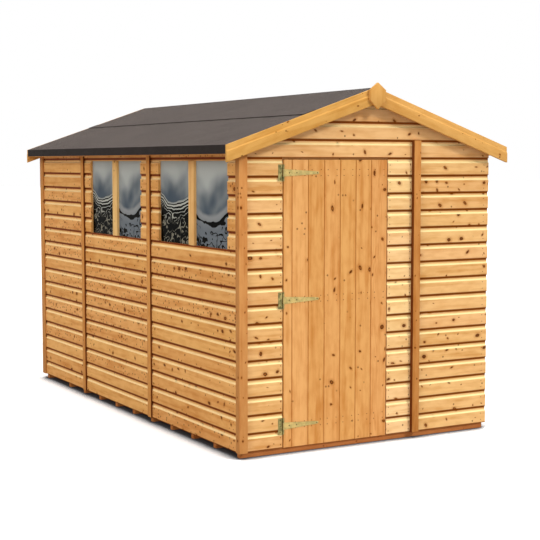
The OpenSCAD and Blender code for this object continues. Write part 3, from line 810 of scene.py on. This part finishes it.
def glass_material():
    material, tree, skin = new_material("shed_glazing")
    flat = xyz(tree, put(tree, "ShaderNodeUVMap", uv_map="pane").outputs[0])
    odd = put(tree, "ShaderNodeAttribute", attribute_name="odd").outputs["Fac"]
    seed = times(tree, odd, 7.3)
    offset = minus(tree, flat[0], by_pane(tree, odd, 0.5, 0.6))
    bow = times(tree, times(tree, offset, offset), PANE_BOW)
    drift = noise(tree, point(tree, flat[0], flat[1], seed), 3.0, 2.0)
    level = plus(tree, minus(tree, flat[1], bow), times(tree, drift, 0.10))
    cloud = noise(tree, point(tree, times(tree, flat[0], 0.75), level, seed), 2.4, 1.5)
    rise = minus(tree, level, by_pane(tree, odd, EDGE_EVEN, EDGE_ODD))
    tone = plus(tree, times(tree, rise, 1.7), swing(tree, cloud, 0.42, 1.6))
    # Sky above and garden below: a reflection painted into the pane's colour.
    sky = mixed(tree, ramp(tree, tone, -0.05, 0.95), REFLECTED_SKY_DEEP, REFLECTED_SKY_PALE)
    garden_reflection = painted_garden_reflection(tree, flat, level, odd, seed)
    colour = mixed(tree, ramp(tree, rise, -0.02, 0.04), garden_reflection, sky)
    colour = mixed(tree, ramp(tree, facing(tree)[0], 0.3, 0.7), colour, ROOM_SIDE)
    feed(tree, skin["Base Color"], colour)
    skin["Transmission Weight"].default_value = 0.30
    skin["Specular IOR Level"].default_value = 0.02
    skin["IOR"].default_value = 1.08
    feed(tree, skin["Roughness"], ramp(tree, cloud, 0.3, 0.8, 0.04, 0.12))
    relief(tree, skin, 0.25, 0.004, drift)
    return material


glazing = glass_material()
print("glass:", len(glazing.node_tree.nodes), "nodes")

# %% [markdown]
# ## One shiplap board
# A shiplap board has a flat face with a hollow scoop along its top, and a thin tongue
# above that, which tucks behind the lip of the next board up. It is modelled once, a
# metre long on the bench: a block for the back half, the face pulled forward, the lip
# pulled down, and the scoop made by sawing lines across a slope and pushing them back
# into a curve. A profile curve would be quicker, but here each step can be seen.

# %% One shiplap board
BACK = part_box("front_cladding_left")[1].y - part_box("front_cladding_left")[0].y
FACE_T = 0.007  # how far the face stands in front of the tongue
LIP, TONGUE = 0.010, 0.0088  # how far the lip hangs down and the tongue stands up
SCOOP, SCOOP_TOP, SCOOP_STEPS = 0.022, COVER - 0.009, 6
UP = (0, 0, 1)


def scooped(board):
    """Hollows the slope between face and tongue into a quarter of an ellipse."""
    for step in range(1, SCOOP_STEPS):
        angle = math.radians(90 * step / SCOOP_STEPS)
        height = SCOOP_TOP - SCOOP * math.cos(angle)
        saw((0, 0, height), UP, keep_all=True)
        straight = FACE_T * (height - SCOOP_TOP + SCOOP) / SCOOP
        pick(board, "VERT", lambda m, v: abs(m.z - height) < NEAR and m.y < FACE_T - 1e-4)
        slide((0, FACE_T * math.sin(angle) - straight, 0))


def shiplap_board(name, end_ease=0.0):
    board = block(name, (0.0, FACE_T, LIP), (1.0, BACK, COVER + TONGUE))
    edit(board)
    saw((0, 0, SCOOP_TOP), UP, keep_all=True)
    pick(board, "FACE", lambda m, f: f.normal.y < -0.9 and m.z < SCOOP_TOP)
    pull((0, -FACE_T, 0))
    pick(board, "FACE", lambda m, f: f.normal.z < -0.9 and m.y < FACE_T)
    pull((0, 0, -LIP))
    pick(board, "VERT", lambda m, v: m.y < NEAR and abs(m.z - SCOOP_TOP) < NEAR)
    slide((0, 0, -SCOOP))
    scooped(board)
    pick(board, "EDGE", lambda m, e: m.y < NEAR and m.z < NEAR)
    ease(0.0015)
    if end_ease:
        pick(board, "EDGE", lambda m, e: m.y < NEAR and min(m.x, 1 - m.x) < NEAR)
        ease(end_ease, segments=3)
    stop_editing()
    return board


long_board = shiplap_board("long_board")
short_board = shiplap_board("short_board", end_ease=0.004)
print("board template:", len(long_board.data.polygons), "faces")


# %% Courses of boards
def courses(board, name, length, count):
    """A wall panel on the bench: boards of one length, stacked from the bottom up."""
    panel = copy_of(board, name)
    edit(panel)
    pick(panel, "VERT", lambda m, v: m.x > 0.5)
    slide((length - 1.0, 0, 0))
    stop_editing()
    return repeated(panel, count, (0, 0, COVER))


def trimmed(panel, *cuts):
    """Saws a panel off along one plane after another."""
    edit(panel)
    for place, normal in cuts:
        saw(place, normal)
    stop_editing()
    return panel


# %% [markdown]
# ## The gable walls
# Each wall is laid flat on the bench, boards running along X and faces towards -Y, cut
# to shape there, and then turned to its own side of the shed. The gable's boards are
# sawn along the two roof slopes one at a time: a saw that goes through a whole stack at
# once can close the ends of boards that touch into one face.

# %% Panels for the gable walls
ROOF_CUTS = [((0, 0, ridge_z), (-slope, 0, 1)), ((0, 0, ridge_z), (slope, 0, 1))]
strips = solid_boxes("gable_joint_strips")
joint = (strips[0][0].x + strips[0][1].x) / 2
HALF_GAP = 0.001
print("wall joint at x", round(joint, 3))


def bench_panel(name, board, low, high, count):
    """A panel on the bench, from x low.x to high.x, with its bottom lap at z low.z."""
    panel = courses(board, name, high.x - low.x, count)
    return placed(panel, (low.x, 0.0, low.z))


def gable_panel(name, low, high):
    """A gable's boards up to the roof, each sawn by itself along the two slopes."""
    top = ridge_z - slope * max(0.0, low.x, -high.x)
    boards = []
    for row in range(math.ceil((top - low.z) / COVER)):
        board = bench_panel(f"{name}_{row}", long_board,
                            Vector((low.x, 0, low.z + row * COVER)), high, 1)
        boards.append(trimmed(board, *ROOF_CUTS))
    return joined(name, boards)


# %% The front wall
low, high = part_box("front_cladding_left")
full = round((high.z - low.z) / COVER)
front_left = bench_panel("front_boards_left", short_board, low, high, full)
trimmed(front_left, ((0, 0, high.z), UP))
placed(front_left, (0, low.y, 0))
finish_piece(front_left, "shed", "cladding", shiplap["x"], "front_cladding_left")

low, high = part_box("front_cladding_right")
beside_door = bench_panel("beside_door", short_board, low,
                          Vector((joint - HALF_GAP, high.y, high.z)), full)
right_part = bench_panel("front_boards_right", long_board,
                         Vector((joint + HALF_GAP, low.y, low.z)), high, full)
for panel, wood in ((beside_door, pale_shiplap), (right_part, shiplap["x"])):
    trimmed(panel, ((0, 0, high.z), UP))
    placed(panel, (0, low.y, 0))
    finish_piece(panel, "shed", "cladding", wood, "front_cladding_right")

low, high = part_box("front_gable_cladding")
gable = placed(gable_panel("front_boards_gable", low, high), (0, low.y, 0))
finish_piece(gable, "shed", "cladding", gable_shiplap, "front_gable_cladding")

# %% The back wall
low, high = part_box("back_cladding")
back_wall = joined("back_boards", [
    gable_panel("back_part_a", Vector((-high.x, 0, low.z)),
                Vector((-joint - HALF_GAP, 0, 0))),
    gable_panel("back_part_b", Vector((-joint + HALF_GAP, 0, low.z)),
                Vector((-low.x, 0, 0)))])
placed(back_wall, (0, high.y, 0), turn=math.pi)
finish_piece(back_wall, "shed", "cladding", shiplap["x"], "back_cladding")

# %% [markdown]
# ## The side walls
# The side panels are made in the same way and turned a quarter. Boards beside a window
# are cut one at a time with a Boolean against a block the size of the opening, as a
# joiner cuts them back to the window posts, so each piece shows its own hollow end.

# %% Side walls
THROUGH = 0.05  # half the depth of the block that cuts a window out


def side_panel(name, box, count, window=None):
    """A side wall panel, laid from its left end as seen from outside on the left."""
    low, high = box
    if window:
        cutter = block("cutter", (high.y - window[1].y, -THROUGH, window[0].z),
                       (high.y - window[0].y, THROUGH, window[1].z))
    boards = []
    for row in range(count):
        foot = low.z + row * COVER
        board = bench_panel(f"{name}_{row}", long_board, Vector((0, 0, foot)),
                            Vector((high.y - low.y, 0, 0)), 1)
        if window and foot + COVER + TONGUE > window[0].z and foot < window[1].z:
            cut_out(board, cutter)
        boards.append(board)
    if window:
        bpy.data.objects.remove(cutter)
    return trimmed(joined(name, boards), ((0, 0, high.z), UP))


# %% The left wall
rows = math.ceil((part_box("right_cladding")[1].z - CLAD_Z) / COVER)
panes = sorted(solid_boxes("window_glass"), key=lambda b: b[0].y)
windows = [(panes[0][0], panes[1][1]), (panes[2][0], panes[3][1])]
for name, node, window in (("left_boards_front", "left_cladding_front", windows[0]),
                           ("left_boards_middle", "left_cladding_middle", windows[1]),
                           ("left_boards_back", "left_cladding_back", None)):
    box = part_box(node)
    panel = side_panel(name, box, rows, window)
    placed(panel, (box[0].x, box[1].y, 0), turn=-math.pi / 2)
    finish_piece(panel, "shed", "cladding", shiplap["y"], node)

# %% The right wall
right_parts = []
for number, box in enumerate(solid_boxes("right_cladding")):
    panel = side_panel(f"right_part_{number}", box, rows)
    right_parts.append(placed(panel, (box[1].x, box[0].y, 0), turn=math.pi / 2))
finish_piece(joined("right_boards", right_parts), "shed", "cladding", shiplap["y"],
             "right_cladding")
for template in (long_board, short_board):
    bpy.data.objects.remove(template)

# %% [markdown]
# ## The door's boards
# The leaf is seven upright tongued boards. Each has its two front edges planed off, so
# that neighbours meet in a V groove. The first and last were sawn narrower to fit.

# %% The door's boards
low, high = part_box("door_leaf")
FIRST, LAST = 0.058, 0.117  # widths of the first and last board
HAIR, FRONT_V, BACK_V = 0.00005, 0.0038, 0.0012  # gap at each side, and grooves
WIDTHS = [FIRST] + [(high.x - low.x - FIRST - LAST) / 5] * 5 + [LAST]
door_boards, x = [], low.x
for number, width in enumerate(WIDTHS):
    board = block(f"door_board_{number}", (x + HAIR, low.y, low.z),
                  (x + width - HAIR, high.y, high.z))
    x += width
    edit(board)
    for face_y, groove in ((low.y, FRONT_V), (high.y, BACK_V)):
        pick(board, "EDGE", lambda m, e: abs(m.z - (low.z + high.z) / 2) < 1e-4 and
             abs(m.y - face_y) < NEAR)
        ease(groove, segments=1)
    stop_editing()
    door_boards.append(board)
finish_piece(joined("door_boards", door_boards), "door", "cladding", boarding,
             "door_leaf")

# %% [markdown]
# ## Eased timbers
# Real planed timber has no razor edges: the planer takes a millimetre or two off each
# arris. Each CAD timber is copied, its loose triangles are merged and its flat faces made
# whole, and then its edges are bevelled. Posts, rails, trims, battens and bargeboards all
# go through this.

# %% Eased timbers
SHARP = 0.3  # an edge that turns more than this, in radians, is an arris


def whole_copy(node, name):
    """A copy of a CAD node open for editing, its triangles merged into flat faces."""
    piece = copy_of(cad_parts[node], name)
    edit(piece)
    bpy.ops.mesh.remove_doubles(threshold=NEAR)
    bpy.ops.mesh.dissolve_limited(angle_limit=math.radians(1))
    return piece


def eased(node, offset, body, slot, material):
    piece = whole_copy(node, f"{node}_eased")
    pick(piece, "EDGE", lambda m, e: len(e.link_faces) == 2 and
         e.calc_face_angle() > SHARP)
    bpy.ops.mesh.bevel(offset=offset, segments=2, affect="EDGES", clamp_overlap=True)
    stop_editing()
    finish_piece(piece, body, slot, material, node)


# %% Posts, rails, trims, bargeboards, ledges and braces
for node, axis in (("front_posts", "z"), ("back_posts", "z"), ("left_posts", "z"),
                   ("right_posts", "z"), ("front_rails", "x"), ("back_rails", "x"),
                   ("left_rails", "y"), ("right_rails", "y"), ("front_gable_frame", "x"),
                   ("back_gable_frame", "x"), ("truss_rafters", "rafter"),
                   ("truss_braces", "x"), ("roof_purlins", "y")):
    eased(node, 0.0015, "shed", "timber", framing[axis])
for node, wood in (("floor_joists", joist_wood),
                   ("front_corner_trim", corner_wood),
                   ("back_corner_trims", corner_wood),
                   ("gable_joint_strips", gable_trim_wood),
                   ("side_joint_strips", side_trim_wood),
                   ("eave_battens", batten_wood),
                   ("window_mullions", mullion_wood), ("window_beads", framing["y"])):
    eased(node, 0.0018, "shed", "trim", wood)
for node, wood in (("front_bargeboards", barge_wood), ("back_bargeboards", barge_wood),
                   ("finial", finial_wood)):
    eased(node, 0.0015, "shed", "bargeboard", wood)
for node, axis in (("door_ledges", "x"), ("door_braces", "brace")):
    eased(node, 0.002, "door", "timber", framing[axis])

# %% [markdown]
# ## Floor and roof boards
# The floor and both roof slopes are tongued boards laid along the shed. One board is
# planed with small V edges on the side that shows, and then repeated across.

# %% Floor and roof boards
BOARD_GAP, SMALL_V = 0.0003, 0.002
FLOOR_COUNT, ROOF_COUNT = 18, 11


def tongued_boards(name, across, thick, low_y, high_y, count, show_top):
    """Boards along Y on the bench, side by side from x 0, V-edged on top or below."""
    width = across / count
    board = block(name, (BOARD_GAP, low_y, 0.0), (width - BOARD_GAP, high_y, thick))
    level = thick if show_top else 0.0
    edit(board)
    pick(board, "EDGE", lambda m, e: abs(m.z - level) < NEAR and
         abs(e.verts[0].co.y - e.verts[1].co.y) > 0.5)
    ease(SMALL_V, segments=1)
    stop_editing()
    return repeated(board, count, (width, 0, 0))


low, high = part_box("floor_boards")
floor = tongued_boards("floor_boarding", high.x - low.x, high.z - low.z, low.y, high.y,
                       FLOOR_COUNT, True)
finish_piece(placed(floor, (low.x, 0, low.z)), "shed", "timber", framing["y"],
             "floor_boards")

angle = math.atan(slope)
for name, node, side in (("roof_boarding_left", "roof_boards_left", -1),
                         ("roof_boarding_right", "roof_boards_right", 1)):
    low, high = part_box(node)
    reach = (high.x - low.x) / math.cos(angle)
    thick = (high.z - low.z - (high.x - low.x) * slope) * math.cos(angle)
    roof = tongued_boards(name, reach + 2 * thick, thick, low.y, high.y, ROOF_COUNT,
                          False)
    placed(roof, (-thick if side < 0 else -reach - thick, 0, 0))
    placed(roof, (low.x if side < 0 else high.x, 0, low.z), tilt=side * angle)
    trimmed(roof, ((low.x, 0, 0), (-1, 0, 0)), ((high.x, 0, 0), (1, 0, 0)))
    finish_piece(roof, "shed", "timber", framing["y"], node)

# %% [markdown]
# ## Window panes
# The four panes are copies of the CAD glass. Each gets a flat map of its own, from 0 to 1
# both ways, and every second pane is marked odd, for the glass material to read.

# %% Window panes
def mapped_panes(piece):
    mesh = bmesh.new()
    mesh.from_mesh(piece.data)
    uv = mesh.loops.layers.uv.new("pane")
    odd = mesh.faces.layers.float.new("odd")
    parts = sorted(loose_parts(mesh), key=lambda part: min(v.co.y for v in part))
    for number, part in enumerate(parts):
        edges = [(axis, *extent(part, axis)) for axis in (1, 2)]
        for face in {face for corner in part for face in corner.link_faces}:
            face[odd] = (number + 1) % 2
            for loop in face.loops:
                loop[uv].uv = [(loop.vert.co[axis] - near) / (far - near)
                               for axis, near, far in edges]
    mesh.to_mesh(piece.data)
    mesh.free()


pane_copy = whole_copy("window_glass", "window_panes")
stop_editing()
mapped_panes(pane_copy)
finish_piece(pane_copy, "shed", "glazing", glazing, "window_glass")

# %% [markdown]
# ## Nails
# Two nails hold each board at each post of the frame, and four hold each door board to
# each ledge. A nail head is a flat eight-sided disc with a crowned edge, modelled once on
# the bench and copied. Under a strip or trim no nail shows, so there the line of nails
# moves just clear of it.

# %% A nail head
HEAD_RADIUS, HEAD_DEPTH = 0.0029, 0.0016
NAIL_LEVELS = (0.022, 0.064)  # of the two nails, above the foot of a board
CLEAR = 0.010  # from a strip or trim to the nearest nail


def nail_head():
    """A small crowned head on the bench, facing -Y, with its middle at the origin."""
    bpy.ops.object.select_all(action="DESELECT")
    bpy.ops.mesh.primitive_cylinder_add(vertices=8, radius=HEAD_RADIUS, depth=HEAD_DEPTH,
                                        location=(0, 0, 0), rotation=(math.pi / 2, 0, 0))
    head = bpy.context.object
    bpy.ops.object.transform_apply(location=True, rotation=True, scale=True)
    edit(head)
    pick(head, "FACE", lambda m, f: f.normal.y < -0.9)
    bpy.ops.mesh.inset(thickness=0.0008, depth=0.0002)
    stop_editing()
    return head


nail = nail_head()
print("nail head:", len(nail.data.polygons), "faces")


# %% Nails in the walls
def nail_lines(node, axis, covers):
    """Middles of a wall's posts along an axis, moved clear of what covers the boards."""
    lines = set()
    for low, high in solid_boxes(node):
        place = (low[axis] + high[axis]) / 2
        for near, far in covers:
            if near - CLEAR < place < far + CLEAR:
                place = near - CLEAR if place < (near + far) / 2 else far + CLEAR
        lines.add(round(place, 4))
    return sorted(lines)


def nailed_wall(name, lines, count, turn, out):
    """Columns of paired nails on the bench, turned and moved to the face of a wall."""
    columns = []
    for i, x in enumerate(lines):
        pair = [placed(copy_of(nail, f"{name}_{i}_{j}"), (x, 0.0, CLAD_Z + level))
                for j, level in enumerate(NAIL_LEVELS)]
        columns.append(repeated(joined(f"{name}_{i}", pair), count, (0, 0, COVER)))
    wall = placed(joined(name, columns), out, turn=turn)
    finish_piece(wall, "shed", "trim", nail_steel)


def spans(node, axis):
    return [(low[axis], high[axis]) for low, high in solid_boxes(node)]


# %% The front and back rows of nails
BESIDE, NO_POST = 0.014, 0.04  # nails beside the doorway, and how near others come
body_low, body_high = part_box("front_gable_cladding")
back_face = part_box("back_cladding")[1].y
front_covers = spans("front_corner_trim", 0) + spans("gable_joint_strips", 0)[:1]
front_lines = nail_lines("front_posts", 0, front_covers)
door_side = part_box("front_cladding_left")[1].x
lock_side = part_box("front_cladding_right")[0].x
front_lines = [x for x in front_lines
               if not door_side - NO_POST < x < lock_side + NO_POST]
front_lines += [door_side - BESIDE, lock_side + BESIDE]
nailed_wall("front_nails", front_lines, full, 0.0, (0, body_low.y, 0))

back_covers = spans("back_corner_trims", 0) + spans("gable_joint_strips", 0)[:1]
back_lines = [-x for x in nail_lines("back_posts", 0, back_covers)]
nailed_wall("back_nails", back_lines, full, math.pi, (0, back_face, 0))

# %% The side rows of nails
for name, node, side in (("left_nails", "left_posts", -1),
                         ("right_nails", "right_posts", 1)):
    covers = spans("side_joint_strips", 1) + spans("back_corner_trims", 1)[:1]
    if side < 0:
        covers += spans("front_corner_trim", 1)
    lines = [side * y for y in nail_lines(node, 1, covers)]
    nailed_wall(name, lines, rows, side * math.pi / 2, (side * body_high.x, 0, 0))


# %% Nails in the door
ACROSS_BOARD, UP_LEDGE = (0.22, 0.78), (0.25, 0.75)
low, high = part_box("door_leaf")
door_nails, x = [], low.x
for width in WIDTHS:
    for part in ACROSS_BOARD:
        for foot, top in spans("door_ledges", 2):
            for rise in UP_LEDGE:
                head = copy_of(nail, f"door_nail_{len(door_nails)}")
                spot = (x + part * width, low.y, foot + rise * (top - foot))
                door_nails.append(placed(head, spot))
    x += width
finish_piece(joined("door_nails", door_nails), "door", "trim", nail_steel)
bpy.data.objects.remove(nail)

# %% [markdown]
# ## Hinge screws
# Each hinge is held by countersunk screws: a cone that fills the countersink, a low dome
# over it and a cross cut into the dome. The places are given as shares along each CAD
# strap
# and as steps up the plate beside its pin: three along each strap and three up each plate.

# %% Hinge screws
def screw_head():
    """A countersunk screw head on the bench, facing -Y, with its seat at the origin."""
    bpy.ops.object.select_all(action="DESELECT")
    bpy.ops.mesh.primitive_cone_add(vertices=16, radius1=0.0041, radius2=0.0022,
                                    depth=0.0019, location=(0, -0.00095, 0),
                                    rotation=(-math.pi / 2, 0, 0))
    head = bpy.context.object
    bpy.ops.object.transform_apply(location=True, rotation=True, scale=True)
    edit(head)
    pick(head, "FACE", lambda m, f: f.normal.y < -0.9)
    bpy.ops.mesh.inset(thickness=0.0010, depth=0.0004)
    bpy.ops.mesh.inset(thickness=0.0012, depth=0.0002)
    stop_editing()
    for cross in ((0.0024, 0.0005), (0.0005, 0.0024)):
        cutter = block("cutter", (-cross[0], -0.004, -cross[1]),
                       (cross[0], -0.0016, cross[1]))
        cut_out(head, cutter)
        bpy.data.objects.remove(cutter)
    return head


screw = screw_head()
print("screw head:", len(screw.data.polygons), "faces")

# %% Screws in the hinges
STRAP_PARTS, STRAP_LENGTH = (0.17, 0.375, 0.95), 0.248
PLATE_X, PLATE_RISE = -0.021, 0.037  # from the pin to the screws, and between them
strap_screws, plate_screws = [], []
for low, high in solid_boxes("hinge_straps"):
    middle, pin = (low.z + high.z) / 2, high.x - STRAP_LENGTH
    for part in STRAP_PARTS:
        strap_screws.append(placed(copy_of(screw, f"strap_screw_{len(strap_screws)}"),
                                   (pin + part * STRAP_LENGTH, body_low.y, middle)))
    for up in (-1, 0, 1):
        plate_screws.append(placed(copy_of(screw, f"plate_screw_{len(plate_screws)}"),
                                   (pin + PLATE_X, body_low.y, middle + up * PLATE_RISE)))
finish_piece(joined("strap_screws", strap_screws), "door", "hinge", screw_steel)
finish_piece(joined("plate_screws", plate_screws), "shed", "hinge", screw_steel)
bpy.data.objects.remove(screw)

# %% [markdown]
# ## Camera, floor and light
# The camera stands off the front left corner at a person's eye height, with a long lens.
# A pale floor carries the shed's shadow, darkest in the crevice under the joists, and
# glows a little beyond it so that it reads as white. One broad lamp high at the front
# right gives the boards' laps their shadows, one overhead brightens the scooped ledges,
# and weak ones fill the window side and the two sides turned away from the camera. The
# world lights the rest evenly.

# %% Camera
EYE = (-4.395, -8.1245, 1.732)
LOOK_DOWN, LOOK_RIGHT, LENS = 4.80, 29.66, 84.9
camera = bpy.data.objects.new("camera", bpy.data.cameras.new("camera"))
bpy.context.scene.collection.objects.link(camera)
camera.location = EYE
camera.rotation_euler = (math.radians(90 - LOOK_DOWN), 0.0, math.radians(-LOOK_RIGHT))
camera.data.lens = LENS
camera.data.sensor_width = 36.0
camera.data.clip_end = 200.0
bpy.context.scene.camera = camera


# %% Studio floor
def seen_rays(tree):
    """1 for rays that look at a thing straight, mirrored or through glass, else 0."""
    rays = put(tree, "ShaderNodeLightPath").outputs
    return highest(tree, rays["Is Camera Ray"],
                   highest(tree, rays["Is Glossy Ray"], rays["Is Transmission Ray"]))


CREVICE_REACH = 0.16  # how far off the shed still darkens the floor
CREVICE, PAPER = (0.10, 0.10, 0.11, 1.0), (0.88, 0.88, 0.88, 1.0)
UNSEEN_FLOOR = (0.45, 0.43, 0.41, 1.0)  # what the floor throws back at the shed
bpy.ops.object.select_all(action="DESELECT")
bpy.ops.mesh.primitive_plane_add(size=160, location=(0, 0, 0))
ground = bpy.context.object
ground.name = "studio_floor"
paper, tree, skin = new_material("studio_floor")
seen = seen_rays(tree)
# Near the shed an occlusion test paints the floor dark and takes its glow away: painted
# contact shade.
near = put(tree, "ShaderNodeAmbientOcclusion", samples=8)
near.inputs["Distance"].default_value = CREVICE_REACH
clear = ramp(tree, near.outputs["AO"], 0.46, 0.85)
feed(tree, skin["Base Color"],
     mixed(tree, seen, UNSEEN_FLOOR, mixed(tree, clear, CREVICE, PAPER)))
skin["Roughness"].default_value = 0.9
skin["Specular IOR Level"].default_value = 0.0
skin["Emission Color"].default_value = (1.0, 1.0, 1.0, 1.0)
feed(tree, skin["Emission Strength"], times(tree, seen, clear, 0.35))
ground.data.materials.append(paper)
ground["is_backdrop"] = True
print("studio floor", [round(side) for side in ground.dimensions[:2]], "m")


# %% Lamps
def lamp(name, place, spread, strength, colour=(1.0, 1.0, 1.0)):
    """A broad lamp a long way off, shining from a place towards the shed."""
    light = bpy.data.lights.new(name, "SUN")
    light.angle, light.energy, light.color = math.radians(spread), strength, colour
    holder = bpy.data.objects.new(name, light)
    bpy.context.scene.collection.objects.link(holder)
    holder.location = place
    holder.rotation_euler = Vector(place).to_track_quat("Z", "Y").to_euler()


lamp("key", (3.0, -5.4, 5.0), 12, 1.65, (1.0, 0.98, 0.95))
lamp("overhead", (-1.0, -1.2, 6.0), 40, 1.6)
lamp("side_fill", (-6.0, -3.0, 3.5), 30, 0.95, (1.0, 0.98, 0.95))
lamp("back_fill", (5.0, 6.0, 2.5), 40, 0.9)
print("lamps:", len(bpy.data.lights))

# %% World
world = bpy.data.worlds.new("studio")
bpy.context.scene.world = world
world.use_nodes = True
tree = world.node_tree
sky = tree.nodes["Background"].inputs
sky["Color"].default_value = (1.0, 1.0, 1.0, 1.0)
feed(tree, sky["Strength"], ramp(tree, seen_rays(tree), 0.0, 1.0, 0.42, 1.0))
bpy.context.scene.view_settings.view_transform = "Standard"
print("world:", len(tree.nodes), "nodes")

# %% Finish
low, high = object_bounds()
